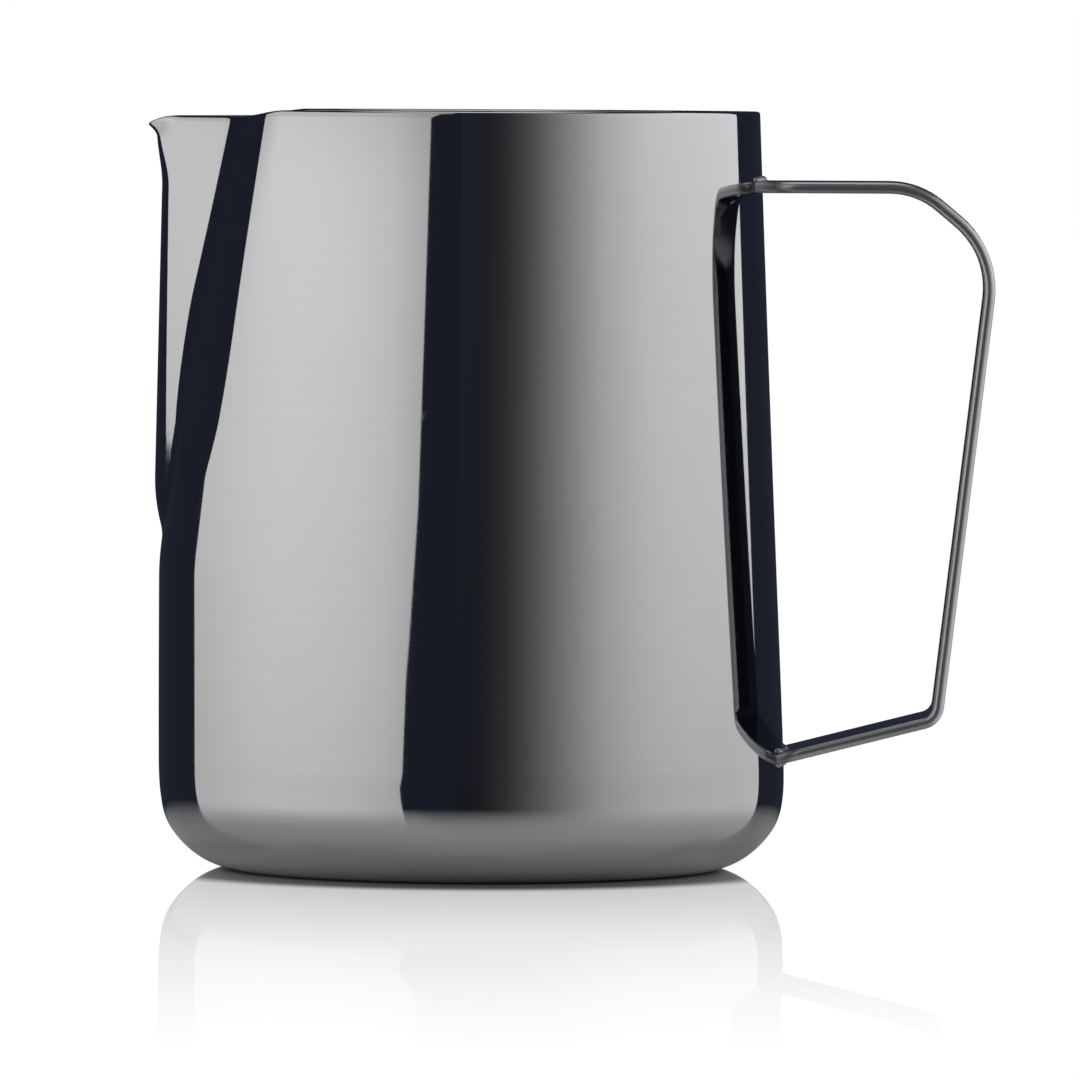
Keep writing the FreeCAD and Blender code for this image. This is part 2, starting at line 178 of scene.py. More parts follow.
# ---------------------------------------------------------------- mesh helpers
def mesh_object(name, points, faces, pale_edge=None):
    """An object made from vertices in millimetres and faces."""
    mesh = bpy.data.meshes.new(name)
    mesh.from_pydata([tuple(point) for point in np.asarray(points) * MM], [], faces)
    mesh.validate()
    mesh.update()
    mesh.polygons.foreach_set("use_smooth", [True] * len(mesh.polygons))
    piece = bpy.data.objects.new(name, mesh)
    bpy.context.scene.collection.objects.link(piece)
    if pale_edge is not None:
        mesh.attributes.new("pale_edge", "FLOAT", "POINT").data.foreach_set("value", pale_edge)
    return piece


def ring_faces(rows, columns):
    """Quads between successive closed rows."""
    faces = []
    for row in range(rows - 1):
        base = row * columns
        for column in range(columns):
            after = (column + 1) % columns
            faces.append((base + column, base + after,
                          base + columns + after, base + columns + column))
    return faces


# ---------------------------------------------------------------- the cup
FINE_HALF_SPAN = 56.0  # degrees either side of the spout's axis
FINE_STEP = 0.4
COARSE_ANGLES = 250
CROWDING = 0.72        # how much closer the rows are at the notch, and over what height
CROWDING_HEIGHT = 7.0
RIM_PASSES = 40
BASE_SHARES = (0.25, 0.5, 0.75, 0.9, 0.97)
CORNER_ROWS = 41
OUTER_ROWS = 200
EDGE_ROWS = 11
INNER_ROWS = 130
INNER_CORNER_ROWS = 25


def cup_angles():
    """Angles from the spout's axis, once around, closer together across the spout."""
    fine = np.radians(np.arange(-FINE_HALF_SPAN, FINE_HALF_SPAN + 0.01, FINE_STEP))
    coarse = np.linspace(fine[-1], fine[0] + 2.0 * math.pi, COARSE_ANGLES)[1:-1]
    coarse = np.where(coarse > math.pi, coarse - 2.0 * math.pi, coarse)
    return np.concatenate([fine, coarse])


def side_heights(low, high, count):
    """Heights from low to high, closer together about the notch."""
    even = np.linspace(0.0, 1.0, count)
    near = np.abs(low + even * (RIM - low) - NOTCH)
    pace = 1.0 - CROWDING * np.exp(-(near / CROWDING_HEIGHT) ** 2)
    steps = np.concatenate([[0.0], np.cumsum(0.5 * (pace[1:] + pace[:-1]))])
    share = steps / steps[-1]
    return [low + part * (high - low) for part in share]


def build_cup():
    """One closed skin: underside, outside, rounded rim, inside and inner floor."""
    angles = cup_angles()
    pale_share = []
    height = np.full_like(angles, RIM)
    for _ in range(RIM_PASSES):
        height = 0.5 * (height + rim_height(cup_radius(angles, height) * np.cos(angles)))
    top = height - EDGE_RADIUS
    rows = []

    def add(radius, level, pale_edge=0.0):
        pale_share.append(pale_edge)
        radius = np.broadcast_to(radius, angles.shape)
        level = np.broadcast_to(level, angles.shape)
        rows.append(np.stack([-radius * np.cos(angles), -radius * np.sin(angles), level], axis=1))

    def side(level, inset):
        return cup_radius(angles, level) - taper_radius(level) + taper_radius(level, inset) - SKIN

    for share in BASE_SHARES:
        add(FOOT_RADIUS * share, 0.0)
    for turn in np.linspace(0.0, math.pi / 2, CORNER_ROWS):
        level = np.full_like(angles, CORNER_HEIGHT * (1.0 - math.cos(turn)))
        add(side(level, 0.0), level)
    for level in side_heights(CORNER_HEIGHT, top, OUTER_ROWS)[1:]:
        add(side(level, 0.0), level)
    outer = side(top, 0.0)
    half = WALL / 2.0
    # the rim's rounding gets a paler colour, most at its top
    for turn in np.linspace(0.0, math.pi, EDGE_ROWS)[1:-1]:
        add(outer - half + half * math.cos(turn), top + EDGE_RADIUS * math.sin(turn),
            pale_edge=math.sin(turn))
    for level in side_heights(CORNER_HEIGHT, top, INNER_ROWS)[:0:-1]:
        add(side(level, WALL), level)
    for turn in np.linspace(math.pi / 2, 0.0, INNER_CORNER_ROWS):
        level = np.full_like(angles, CORNER_HEIGHT - (CORNER_HEIGHT - WALL) * math.cos(turn))
        add(side(level, WALL), level)
    for share in reversed(BASE_SHARES):
        add(FOOT_RADIUS * share, WALL)
    points = np.concatenate(rows)
    columns = len(angles)
    faces = ring_faces(len(rows), columns)
    bottom = len(points)
    points = np.concatenate([points, [[0.0, 0.0, 0.0], [0.0, 0.0, WALL]]])
    last = (len(rows) - 1) * columns
    for column in range(columns):
        after = (column + 1) % columns
        faces.append((bottom, after, column))
        faces.append((bottom + 1, last + column, last + after))
    pale_edge = np.concatenate([np.repeat(pale_share, columns), [0.0, 0.0]])
    return mesh_object("cup_shell", points, faces, pale_edge)


# ---------------------------------------------------------------- the strap handle
STRAP_THICKNESS = 1.69  # just inside the CAD's
STRAP_EDGE_RADIUS = 0.75
ARM_HEIGHT = 98.5
STRAP_CORNERS = [(36.0, ARM_HEIGHT), (63.9, ARM_HEIGHT), (74.95, 89.25),
                 (67.0, 22.15), (36.0, 14.29)]
STRAP_BENDS = [11.2, 12.7, 2.7]
STRAP_STEP = 1.2
BEND_STEP = 0.35        # radians
LEAST_BEND_STEPS = 8
QUARTER_STEPS = 6
CLEAR_OF_WALL = 1.5
PALE_EDGE_FROM = 0.2         # how far from the strap's middle layer the paler edge starts
PALE_EDGE_MARGIN = 0.02


def strap_line():
    """Points and directions along the strap's middle line: straight runs and round bends."""
    corners = [Vector(corner) for corner in STRAP_CORNERS]
    line = []

    def run(start, end):
        count = max(int((end - start).length / STRAP_STEP), 1)
        ahead = (end - start).normalized()
        line.extend((start.lerp(end, index / count), ahead) for index in range(count))

    start = corners[0]
    for index, radius in enumerate(STRAP_BENDS, start=1):
        back = (corners[index - 1] - corners[index]).normalized()
        ahead = (corners[index + 1] - corners[index]).normalized()
        half = back.angle(ahead) / 2.0
        reach = radius / math.tan(half)
        run(start, corners[index] + back * reach)
        centre = corners[index] + (back + ahead).normalized() * (radius / math.sin(half))
        spoke = corners[index] + back * reach - centre
        sweep = math.pi - 2.0 * half
        count = max(int(radius * sweep / min(STRAP_STEP, BEND_STEP * radius)), LEAST_BEND_STEPS)
        for part in range(count):
            turn = -sweep * part / count
            arm = Vector((spoke.x * math.cos(turn) - spoke.y * math.sin(turn),
                          spoke.x * math.sin(turn) + spoke.y * math.cos(turn)))
            line.append((centre + arm, Vector((arm.y, -arm.x)).normalized()))
        start = corners[index] + ahead * reach
    run(start, corners[-1])
    line.append((corners[-1], (corners[-1] - start).normalized()))
    return line


def strap_section(width):
    """Oblong cross-section with rounded long edges, as (across, out) points."""
    half_width = width / 2.0
    half_depth = STRAP_THICKNESS / 2.0
    edge = STRAP_EDGE_RADIUS
    points = []
    for quarter in range(4):
        sign_across = (1, -1, -1, 1)[quarter]
        sign_out = (1, 1, -1, -1)[quarter]
        for part in range(QUARTER_STEPS + 1):
            turn = math.pi / 2 * (quarter + part / QUARTER_STEPS)
            points.append((sign_across * (half_width - edge) + edge * math.cos(turn),
                           sign_out * (half_depth - edge) + edge * math.sin(turn)))
        if quarter in (0, 2):
            for share in (0.2, 0.4, 0.6, 0.8):
                across = half_width - edge
                points.append(((across - 2.0 * across * share) * sign_across, sign_out * half_depth))
    return points


def build_strap():
    """The bent strap, its two ends trimmed to the middle of the wall."""
    low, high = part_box("handle_strap")
    section = strap_section((high.y - low.y) / MM)
    rows = []
    for place, ahead in strap_line():
        out = Vector((-ahead.y, ahead.x))
        rows.append([[place.x + out.x * depth, across, place.y + out.y * depth]
                     for across, depth in section])
    rows = np.array(rows)
    # drop what lies inside the cup and set the end rows into the wall
    keep = [row for row in rows if row[:, 0].mean() > BELLY_RADIUS + CLEAR_OF_WALL]
    first, last = keep[0].copy(), keep[-1].copy()
    (far_x, far_z), (near_x, near_z) = STRAP_CORNERS[-2:]
    lower_slope = (far_z - near_z) / (far_x - near_x)
    for end, slope in ((first, 0.0), (last, lower_slope)):
        for point in end:
            reach = math.sqrt((taper_radius(point[2]) - WALL / 2.0) ** 2 - point[1] ** 2)
            point[2] -= slope * (point[0] - reach)
            point[0] = reach
    rows = np.array([first] + keep + [last])
    columns = rows.shape[1]
    faces = [tuple(reversed(face)) for face in ring_faces(len(rows), columns)]
    faces.append(tuple(range(columns)))
    faces.append(tuple(reversed(range((len(rows) - 1) * columns, len(rows) * columns))))
    depth = np.abs([point[1] for point in section])
    # the strap's rounded long edges get a paler colour
    pale_share = (depth > PALE_EDGE_FROM) & (depth < STRAP_THICKNESS / 2.0 - PALE_EDGE_MARGIN)
    pale_edge = np.tile(np.where(pale_share, 1.0, 0.0), len(rows))
    return mesh_object("strap", rows.reshape(-1, 3), faces, pale_edge)


# ---------------------------------------------------------------- the weld beads
BEAD_STEPS = 180
BEAD_ARC_STEPS = 8
BEAD_FILL = 0.97        # the largest ripple's share of the CAD's leg
RIPPLE_LENGTH = 0.95
LUMP_SHARE = 0.04
BEAD_ROOT = 0.35        # how far a bead reaches into the wall
BEAD_SINK = 0.1         # and into the strap


def build_bead(name, node, upwards, seed):
    """A run of overlapping weld ripples in the corner between the wall and the strap."""
    low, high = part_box(node)
    half_run = (high.y - low.y) / MM / 2.0
    corner = (low.z if upwards else high.z) / MM
    leg = (high.z - low.z) / MM
    rows = []
    for step in range(BEAD_STEPS + 1):
        across = -half_run + 2.0 * half_run * step / BEAD_STEPS
        wall = math.sqrt(float(taper_radius(np.array(corner))) ** 2 - across * across)
        ripple = 0.5 + 0.5 * math.cos(2.0 * math.pi * across / RIPPLE_LENGTH + seed)
        drift = (0.5 + 0.25 * math.sin(across * 1.9 + seed)
                 + 0.25 * math.sin(across * 4.3 + 2.0 * seed))
        ending = min(1.0, 0.35 + (half_run - abs(across)) / 0.5)
        size = leg * BEAD_FILL * (0.70 + 0.18 * ripple + 0.12 * drift) * ending
        ring = [(wall - BEAD_ROOT, across, -BEAD_SINK)]
        for part in range(BEAD_ARC_STEPS + 1):
            turn = math.pi / 2 * part / BEAD_ARC_STEPS
            lump = 1.0 + LUMP_SHARE * math.sin(5.0 * across + 3.0 * turn + seed)
            ring.append((wall + size * lump * math.cos(turn) * 0.98, across, size * math.sin(turn)))
        ring.append((wall - BEAD_ROOT, across, size * 0.9))
        flip = 1.0 if upwards else -1.0
        rows.append([[x, y, corner + flip * z] for x, y, z in ring])
    rows = np.array(rows)
    columns = rows.shape[1]
    faces = ring_faces(len(rows), columns)
    faces.append(tuple(reversed(range(columns))))
    faces.append(tuple(range((len(rows) - 1) * columns, len(rows) * columns)))
    if not upwards:
        faces = [tuple(reversed(face)) for face in faces]
    return mesh_object(name, rows.reshape(-1, 3), faces)


# ---------------------------------------------------------------- materials
NAVY = (0.022, 0.026, 0.042)
WHITE = (1.0, 1.0, 1.0)
CUP_COLOR, CUP_SHADE = (0.425, 0.425, 0.43), (0.41, 0.41, 0.418)
STRAP_COLOR, STRAP_SHADE = (0.40, 0.40, 0.41), (0.37, 0.37, 0.38)
PALE_EDGE_COLOR = (0.66, 0.66, 0.67)
GRAIN_LOW, GRAIN_HIGH = (0.62, 0.62, 0.63), (0.76, 0.76, 0.77)
TINTED, MELTED = (0.20, 0.20, 0.22), (0.62, 0.61, 0.60)
# depths of the bump, in metres
POLISH_DEPTH = 0.0000012
GRAIN_DEPTH = 0.000004
GRIT_DEPTH = 0.00010
EVEN = (1.0, 1.0, 1.0)


def bare_material(name):
    """A material with an empty node tree."""
    material = bpy.data.materials.new(name)
    material.use_nodes = True
    nodes = material.node_tree.nodes
    nodes.clear()
    return material, nodes, material.node_tree.links


def metal_material(name):
    """A material whose Principled shader is fully metallic."""
    material = bpy.data.materials.new(name)
    material.use_nodes = True
    nodes = material.node_tree.nodes
    shader = nodes["Principled BSDF"]
    shader.inputs["Metallic"].default_value = 1.0
    return material, nodes, material.node_tree.links, shader


def scaled(nodes, links, scale):
    """Coordinates of the piece in metres, stretched by a scale along each axis."""
    place = nodes.new("ShaderNodeTexCoord")
    stretch = nodes.new("ShaderNodeMapping")
    stretch.inputs["Scale"].default_value = scale
    links.new(place.outputs["Object"], stretch.inputs["Vector"])
    return stretch.outputs["Vector"]


def noise(nodes, links, vector, scale, detail=3.0, roughness=0.55):
    texture = nodes.new("ShaderNodeTexNoise")
    texture.inputs["Scale"].default_value = scale
    texture.inputs["Detail"].default_value = detail
    texture.inputs["Roughness"].default_value = roughness
    links.new(vector, texture.inputs["Vector"])
    return texture.outputs["Fac"]


def spread(nodes, links, value, low, high, to_low, to_high, shape="LINEAR"):
    """A value from one range to another, held at its ends."""
    reach = nodes.new("ShaderNodeMapRange")
    reach.interpolation_type = shape
    for name, number in (("From Min", low), ("From Max", high),
                         ("To Min", to_low), ("To Max", to_high)):
        reach.inputs[name].default_value = number
    links.new(value, reach.inputs["Value"])
    return reach.outputs["Result"]


def calculated(nodes, links, operation, first, second=None):
    """One step of arithmetic on numbers or on other nodes' values."""
    step = nodes.new("ShaderNodeMath")
    step.operation = operation
    for socket, value in zip(step.inputs, (first, second)):
        if isinstance(value, float):
            socket.default_value = value
        elif value is not None:
            links.new(value, socket)
    return step.outputs[0]


def blend_colors(nodes, links, share, first, second):
    mix = nodes.new("ShaderNodeMix")
    mix.data_type = "RGBA"
    links.new(share, mix.inputs["Factor"])
    for name, value in (("A", first), ("B", second)):
        if isinstance(value, tuple):
            mix.inputs[name].default_value = (*value, 1.0)
        else:
            links.new(value, mix.inputs[name])
    return mix.outputs["Result"]


def times(nodes, links, first, second):
    """Product of two colours."""
    mix = nodes.new("ShaderNodeMix")
    mix.data_type = "RGBA"
    mix.blend_type = "MULTIPLY"
    mix.inputs["Factor"].default_value = 1.0
    links.new(first, mix.inputs["A"])
    links.new(second, mix.inputs["B"])
    return mix.outputs["Result"]


def blend_shaders(nodes, links, share, first, second):
    """The first shader where the share is 0, the second where it is 1."""
    mix = nodes.new("ShaderNodeMixShader")
    links.new(share, mix.inputs["Fac"])
    links.new(first, mix.inputs[1])
    links.new(second, mix.inputs[2])
    return mix.outputs["Shader"]


def bumped(nodes, links, shader, height, distance):
    bump = nodes.new("ShaderNodeBump")
    bump.inputs["Strength"].default_value = 1.0
    bump.inputs["Distance"].default_value = distance
    links.new(height, bump.inputs["Height"])
    links.new(bump.outputs["Normal"], shader.inputs["Normal"])


def pale_edges(nodes):
    """High on the rounded edges, where the colour is made paler, zero on the faces."""
    mark = nodes.new("ShaderNodeAttribute")
    mark.attribute_type = "GEOMETRY"
    mark.attribute_name = "pale_edge"
    return mark.outputs["Fac"]


def satin_edge(nodes, links, start, end, roughness):
    """Roughness that comes in across the strap's width, towards its two long edges."""
    split = nodes.new("ShaderNodeSeparateXYZ")
    links.new(scaled(nodes, links, EVEN), split.inputs["Vector"])
    across = calculated(nodes, links, "ABSOLUTE", split.outputs["Y"])
    return spread(nodes, links, across, start, end, 0.0, roughness)


def mirror_gunmetal(name, color, dark, roughness, satin, line_scale, edges=None):
    """Polished dark-coated steel: fine polish lines, wandering scratches, a faint unevenness of
    tone and a paler colour on the rounded edges. Edges gives where satin long edges start and end,
    and their roughness."""
    material, nodes, links, shader = metal_material(name)
    broad = noise(nodes, links, scaled(nodes, links, (1.0, 1.0, 0.6)), 26.0)
    lines = noise(nodes, links, scaled(nodes, links, line_scale), 1.0, 4.0, 0.6)
    cloud = spread(nodes, links, broad, 0.35, 0.65, 0.0, 1.0)
    tone = blend_colors(nodes, links, cloud, dark, color)
    streak = spread(nodes, links, lines, 0.4, 0.75, 0.0, 0.16)
    tone = blend_colors(nodes, links, streak, tone, tuple(value * 1.12 for value in color))
    # a paler colour mixed in on the rounded edges
    pale = spread(nodes, links, pale_edges(nodes), 0.0, 1.0, 0.0, 0.22)
    tone = blend_colors(nodes, links, pale, tone, PALE_EDGE_COLOR)
    links.new(tone, shader.inputs["Base Color"])
    scratch = nodes.new("ShaderNodeTexVoronoi")
    scratch.feature = "DISTANCE_TO_EDGE"
    scratch.inputs["Scale"].default_value = 90.0
    links.new(scaled(nodes, links, (1.0, 1.0, 0.18)), scratch.inputs["Vector"])
    hair = spread(nodes, links, scratch.outputs["Distance"], 0.0, 0.012, satin, 0.0)
    fine = spread(nodes, links, lines, 0.35, 0.8, roughness * 0.75, roughness * 1.6)
    total = calculated(nodes, links, "ADD", fine, hair)
    if edges:
        total = calculated(nodes, links, "ADD", total, satin_edge(nodes, links, *edges))
    links.new(total, shader.inputs["Roughness"])
    bumped(nodes, links, shader, lines, POLISH_DEPTH)
    return material


def brushed_inside(name):
    """Satin drawn steel: rings of fine grain around the cup."""
    material, nodes, links, shader = metal_material(name)
    grain = noise(nodes, links, scaled(nodes, links, (8.0, 8.0, 2600.0)), 1.0, 5.0, 0.7)
    cloud = noise(nodes, links, scaled(nodes, links, EVEN), 40.0)
    share = spread(nodes, links, grain, 0.3, 0.7, 0.0, 1.0)
    tone = blend_colors(nodes, links, share, GRAIN_LOW, GRAIN_HIGH)
    links.new(tone, shader.inputs["Base Color"])
    fine = spread(nodes, links, grain, 0.3, 0.7, 0.28, 0.42)
    uneven = spread(nodes, links, cloud, 0.3, 0.7, 0.0, 0.06)
    links.new(calculated(nodes, links, "ADD", fine, uneven), shader.inputs["Roughness"])
    bumped(nodes, links, shader, grain, GRAIN_DEPTH)
    return material


def weld_metal(name):
    """Bright, rough melted metal with heat-tinted patches."""
    material, nodes, links, shader = metal_material(name)
    grit = noise(nodes, links, scaled(nodes, links, EVEN), 2600.0, 4.0, 0.7)
    patch = noise(nodes, links, scaled(nodes, links, EVEN), 700.0, 2.0)
    share = spread(nodes, links, patch, 0.4, 0.6, 0.0, 1.0)
    links.new(blend_colors(nodes, links, share, TINTED, MELTED), shader.inputs["Base Color"])
    links.new(spread(nodes, links, grit, 0.3, 0.7, 0.16, 0.42), shader.inputs["Roughness"])
    bumped(nodes, links, shader, grit, GRIT_DEPTH)
    return material


# ---------------------------------------------------------------- the camera
CAMERA_DISTANCE = 1.7     # metres
CAMERA_HEIGHT = 0.1161
# degrees: azimuth about the cup, then the aim's pan and pitch down, then the roll
CAMERA_TURNS = (2.0, -0.326, 2.316, 0.271)
SENSOR = 36.0             # millimetres
LENS = 392.8666667
CLIP_END = 20.0


def place_camera():
    """A long lens at the photograph's angle, a little above the rim and looking slightly down."""
    data = bpy.data.cameras.new("camera")
    camera = bpy.data.objects.new("camera", data)
    bpy.context.scene.collection.objects.link(camera)
    azimuth, pan, pitch, roll = (math.radians(value) for value in CAMERA_TURNS)
    camera.location = (CAMERA_DISTANCE * math.sin(azimuth),
                       -CAMERA_DISTANCE * math.cos(azimuth), CAMERA_HEIGHT)
    turn = azimuth + pan
    ahead = Vector((-math.sin(turn) * math.cos(pitch),
                    math.cos(turn) * math.cos(pitch), -math.sin(pitch)))
    aim = ahead.to_track_quat("-Z", "Y")
    camera.rotation_mode = "QUATERNION"
    camera.rotation_quaternion = aim @ Quaternion((0, 0, 1), roll)
    data.sensor_width = SENSOR
    data.lens = LENS
    data.clip_end = CLIP_END
    bpy.context.scene.camera = camera


# ---------------------------------------------------------------- the floor
FLOOR_REACH = 6.0
FLOOR_COLOR = (0.85, 0.85, 0.86)
# distances from the frame's origin, in metres, over which each effect changes
MIRROR_FADE = (0.034, 0.40)
FOOT_MIRROR = (0.0432, 0.0525)
# painted contact shadow: the camera's white floor dims to almost nothing over these distances
PAINTED_CONTACT_SHADOW = (0.0352, 0.0385)
# painted light: the table the cup sees glows faintly, with no glow near the foot as painted shade
PAINTED_TABLE_GLOW = (0.036, 0.050)
TABLE_EDGE = (0.052, 0.105)
MIRROR_SHARE = 0.50
FOOT_MIRROR_SHARE = 0.48


def white_acrylic(name):
    """What the camera sees is white with a mirror image that fades away from the cup, and a painted
    contact shadow under the foot. What the cup sees is a pale glossy table with a faint painted
    glow, missing near the foot as painted shade, that ends a short way out."""
    material, nodes, links = bare_material(name)
    place = nodes.new("ShaderNodeNewGeometry")
    length = nodes.new("ShaderNodeVectorMath")
    length.operation = "LENGTH"
    links.new(place.outputs["Position"], length.inputs[0])
    far = length.outputs["Value"]

    fade = spread(nodes, links, far, *MIRROR_FADE, 1.0, 0.0)
    fade = calculated(nodes, links, "POWER", fade, 2.0)
    fade = calculated(nodes, links, "MULTIPLY", fade, MIRROR_SHARE)
    foot = spread(nodes, links, far, *FOOT_MIRROR, FOOT_MIRROR_SHARE, 0.0, "SMOOTHSTEP")
    white = nodes.new("ShaderNodeEmission")
    # painted contact shadow: the white's strength falls off towards the foot
    links.new(spread(nodes, links, far, *PAINTED_CONTACT_SHADOW, 0.03, 1.02, "SMOOTHSTEP"),
              white.inputs["Strength"])
    gloss = nodes.new("ShaderNodeBsdfGlossy")
    gloss.inputs["Color"].default_value = (*WHITE, 1.0)
    gloss.inputs["Roughness"].default_value = 0.0
    seen = blend_shaders(nodes, links, calculated(nodes, links, "ADD", fade, foot),
                         white.outputs["Emission"], gloss.outputs["BSDF"])

    matt = nodes.new("ShaderNodeBsdfPrincipled")
    matt.inputs["Base Color"].default_value = (*FLOOR_COLOR, 1.0)
    matt.inputs["Roughness"].default_value = 0.2
    matt.inputs["IOR"].default_value = 1.6
    matt.inputs["Emission Color"].default_value = (*WHITE, 1.0)
    # painted glow on the table, none near the foot: painted shade there
    links.new(spread(nodes, links, far, *PAINTED_TABLE_GLOW, 0.0, 0.06, "SMOOTHSTEP"),
              matt.inputs["Emission Strength"])
    gone = nodes.new("ShaderNodeBsdfTransparent")
    edge = spread(nodes, links, far, *TABLE_EDGE, 0.0, 1.0, "SMOOTHSTEP")
    table = blend_shaders(nodes, links, edge, matt.outputs["BSDF"], gone.outputs["BSDF"])

    path = nodes.new("ShaderNodeLightPath")
    output = nodes.new("ShaderNodeOutputMaterial")
    links.new(blend_shaders(nodes, links, path.outputs["Is Camera Ray"], table, seen),
              output.inputs["Surface"])
    return material


def build_floor():
    mesh = bpy.data.meshes.new("floor")
    corners = [(-FLOOR_REACH, -FLOOR_REACH, 0.0), (FLOOR_REACH, -FLOOR_REACH, 0.0),
               (FLOOR_REACH, FLOOR_REACH, 0.0), (-FLOOR_REACH, FLOOR_REACH, 0.0)]
    mesh.from_pydata(corners, [], [(0, 1, 2, 3)])
    floor = bpy.data.objects.new("floor", mesh)
    bpy.context.scene.collection.objects.link(floor)
    mesh.materials.append(white_acrylic("white_acrylic"))


# ---------------------------------------------------------------- the lights
SOFTBOX = 1.40
PANEL_RADIUS = 0.5  # metres, as all the lights' sizes are
PANEL_STEPS = 48
LEVELS = [-0.6, -0.3, -0.12, 0.0, 0.015, 0.03, 0.045, 0.055, 0.065, 0.075,
          0.1, 0.15, 0.2, 0.3, 0.6]
LEFT_FAR_EDGE = 116.4     # degrees
RIGHT_NEAR_EDGE = 3.0
RIGHT_FAR_EDGE = -129.5
OVERHEAD_HALF = 0.16
OVERHEAD_HEIGHT = 0.5
OVERHEAD_STRENGTH = 1.1


def light_panel(name, points, faces, glow):
    """A glowing sheet that the camera and the floor's clear reflection look through."""
    mesh = bpy.data.meshes.new(name)
    mesh.from_pydata(points, [], faces)
    panel = bpy.data.objects.new(name, mesh)
    bpy.context.scene.collection.objects.link(panel)
    panel.visible_camera = False
    material, nodes, links = bare_material(name)
    shine = nodes.new("ShaderNodeEmission")
    clear = nodes.new("ShaderNodeBsdfTransparent")
    path = nodes.new("ShaderNodeLightPath")
    output = nodes.new("ShaderNodeOutputMaterial")
    links.new(blend_shaders(nodes, links, path.outputs["Is Singular Ray"],
                            shine.outputs["Emission"], clear.outputs["BSDF"]),
              output.inputs["Surface"])
    glow(nodes, links, shine)
    mesh.materials.append(material)


def curtain(name, first_edge, last_edge, glow):
    """An upright curved panel between two azimuths from the camera's side, left positive, seen
    only in reflections. Each edge gives its azimuth at each height; glow gives its strength."""
    points = []
    for level in LEVELS:
        first, last = first_edge(level), last_edge(level)
        for step in range(PANEL_STEPS + 1):
            turn = math.radians(first + (last - first) * step / PANEL_STEPS)
            points.append((-PANEL_RADIUS * math.sin(turn), -PANEL_RADIUS * math.cos(turn), level))
    row = PANEL_STEPS + 1
    faces = []
    for base in range(0, (len(LEVELS) - 1) * row, row):
        for corner in range(base, base + PANEL_STEPS):
            faces.append((corner, corner + 1, corner + row + 1, corner + row))
    light_panel(name, points, faces, glow)


def azimuth_and_height(nodes, links):
    """The shaded point's azimuth about the upright axis, in degrees from the camera's side with
    left positive, and its height."""
    place = nodes.new("ShaderNodeNewGeometry")
    split = nodes.new("ShaderNodeSeparateXYZ")
    links.new(place.outputs["Position"], split.inputs["Vector"])
    minus_x = calculated(nodes, links, "MULTIPLY", split.outputs["X"], -1.0)
    minus_y = calculated(nodes, links, "MULTIPLY", split.outputs["Y"], -1.0)
    turn = calculated(nodes, links, "ARCTAN2", minus_x, minus_y)
    return calculated(nodes, links, "MULTIPLY", turn, 180.0 / math.pi), split.outputs["Z"]


def stops(nodes, links, value, low, high, points):
    """A smooth curve near its points: value between low and high gives the strength or colour."""
    ramp = nodes.new("ShaderNodeValToRGB")
    ramp.color_ramp.interpolation = "B_SPLINE"
    while len(ramp.color_ramp.elements) < len(points):
        ramp.color_ramp.elements.new(0.5)
    for element, (at, level) in zip(ramp.color_ramp.elements, points):
        element.position = (at - low) / (high - low)
        color = level if isinstance(level, tuple) else (level, level, level)
        element.color = (*color, 1.0)
    links.new(spread(nodes, links, value, low, high, 0.0, 1.0), ramp.inputs["Fac"])
    return ramp.outputs["Color"]


def left_glow(nodes, links, shine):
    turn, level = azimuth_and_height(nodes, links)
    across = stops(nodes, links, turn, 10.0, 130.0,
                   [(10.0, 0.57), (20.0, 0.72), (29.0, 0.86), (43.0, 0.96), (62.0, 1.0),
                    (82.0, 1.0), (102.0, 0.91), (118.0, 0.815)])
    upright = stops(nodes, links, level, 0.0, 0.16,
                    [(0.0, 0.76), (0.025, 0.82), (0.06, 0.91), (0.085, 0.96), (0.11, 1.0),
                     (0.125, 1.0), (0.137, 0.91), (0.15, 0.76)])
    links.new(times(nodes, links, across, upright), shine.inputs["Color"])
    shine.inputs["Strength"].default_value = SOFTBOX


def right_glow(nodes, links, shine):
    turn, level = azimuth_and_height(nodes, links)
    lean = spread(nodes, links, level, 0.0, 0.14, -3.0, 2.0)
    across = stops(nodes, links, calculated(nodes, links, "ADD", turn, lean), -135.0, 5.0,
                   [(-135.0, 1.0), (-98.0, 1.0), (-72.0, 0.93), (-52.0, 0.66), (-40.0, 0.42),
                    (-28.0, 0.19), (-17.0, 0.055), (-6.0, (0.018, 0.019, 0.026)), (3.0, NAVY)])
    upright = stops(nodes, links, level, 0.0, 0.16,
                    [(0.0, 0.66), (0.025, 0.73), (0.06, 0.83), (0.09, 0.89), (0.12, 0.95),
                     (0.15, 1.0)])
    links.new(times(nodes, links, across, upright), shine.inputs["Color"])
    shine.inputs["Strength"].default_value = SOFTBOX


def overhead_glow(nodes, links, shine):
    shine.inputs["Strength"].default_value = OVERHEAD_STRENGTH


def slanted_edge(level):
    """The near edge of the left softbox leans to the camera's side as it rises, most steeply
    between 45 and 75 mm up."""
    if level < 0.0:
        return 23.2 + 9.0 * max(level, -0.12)
    if level < 0.045:
        return 23.2 - 38.0 * level
    if level < 0.075:
        return 21.5 - 118.0 * (level - 0.045)
    return 17.95 - 50.0 * (min(level, 0.30) - 0.075)


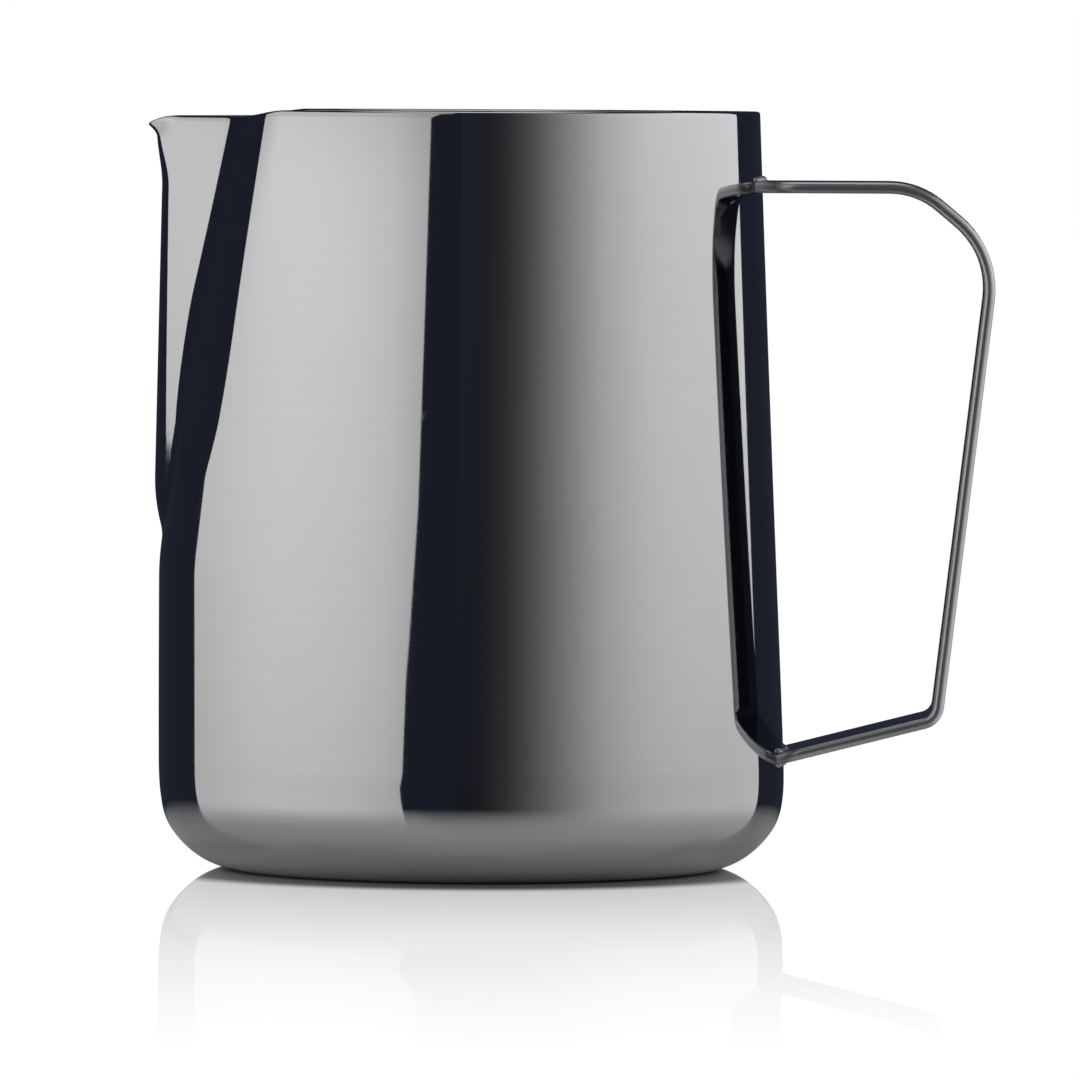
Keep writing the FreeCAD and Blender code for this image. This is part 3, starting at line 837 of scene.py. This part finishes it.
def studio_world():
    """White to the camera and to clear reflections, and dark blue to everything else."""
    world = bpy.data.worlds.new("studio")
    bpy.context.scene.world = world
    world.use_nodes = True
    nodes, links = world.node_tree.nodes, world.node_tree.links
    nodes.clear()

    def backdrop(color):
        shade = nodes.new("ShaderNodeBackground")
        shade.inputs["Color"].default_value = (*color, 1.0)
        return shade.outputs["Background"]

    path = nodes.new("ShaderNodeLightPath")
    either = calculated(nodes, links, "MAXIMUM",
                        path.outputs["Is Camera Ray"], path.outputs["Is Singular Ray"])
    output = nodes.new("ShaderNodeOutputWorld")
    links.new(blend_shaders(nodes, links, either, backdrop(NAVY), backdrop(WHITE)),
              output.inputs["Surface"])


# ---------------------------------------------------------------- the scene
RIM_ROUNDING = 0.8


def inside_face(face):
    """True on the inside skin, below the rim's rounding."""
    centre = face.center / MM
    radius = math.hypot(centre.x, centre.y)
    outward = face.normal.x * centre.x + face.normal.y * centre.y
    inner_floor = centre.z < WALL + 0.01 and face.normal.z > 0.5
    inner_corner = 0.5 < centre.z < CORNER_HEIGHT and face.normal.z > 0.1
    inner_wall = outward < -0.15 * radius and centre.z < RIM - RIM_ROUNDING
    return inner_floor or inner_corner or inner_wall


place_camera()

cup = build_cup()
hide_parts("pitcher_body")
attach(cup, "root")
strap = build_strap()
strap_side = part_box("handle_strap")[1].y
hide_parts("handle_strap")
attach(strap, "root")

cup.data.materials.append(mirror_gunmetal(
    "gunmetal_mirror", CUP_COLOR, CUP_SHADE, 0.035, 0.03, (9.0, 9.0, 2200.0)))
cup.data.materials.append(brushed_inside("satin_inside"))
for face in cup.data.polygons:
    if inside_face(face):
        face.material_index = 1
strap.data.materials.append(mirror_gunmetal(
    "gunmetal_strap", STRAP_COLOR, STRAP_SHADE, 0.07, 0.05, (1800.0, 12.0, 1800.0),
    (strap_side - 0.0008, strap_side - 0.0004, 0.27)))
beads = [("bead_above", "upper_weld", True, 0.4), ("bead_low_top", "lower_weld_top", True, 1.7),
         ("bead_low_under", "lower_weld_under", False, 2.9)]
bead_metal = weld_metal("weld_metal")
for bead_name, node, upwards, seed in beads:
    bead = build_bead(bead_name, node, upwards, seed)
    bead.data.materials.append(bead_metal)
    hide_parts(node)
    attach(bead, "root")

build_floor()
curtain("left_softbox", slanted_edge, lambda level: LEFT_FAR_EDGE, left_glow)
curtain("right_softbox", lambda level: RIGHT_NEAR_EDGE, lambda level: RIGHT_FAR_EDGE, right_glow)
light_panel("overhead",
            [(x * OVERHEAD_HALF, y * OVERHEAD_HALF, OVERHEAD_HEIGHT)
             for x, y in ((-1, -1), (1, -1), (1, 1), (-1, 1))],
            [(0, 1, 2, 3)], overhead_glow)
studio_world()
bpy.context.scene.view_settings.view_transform = "Standard"
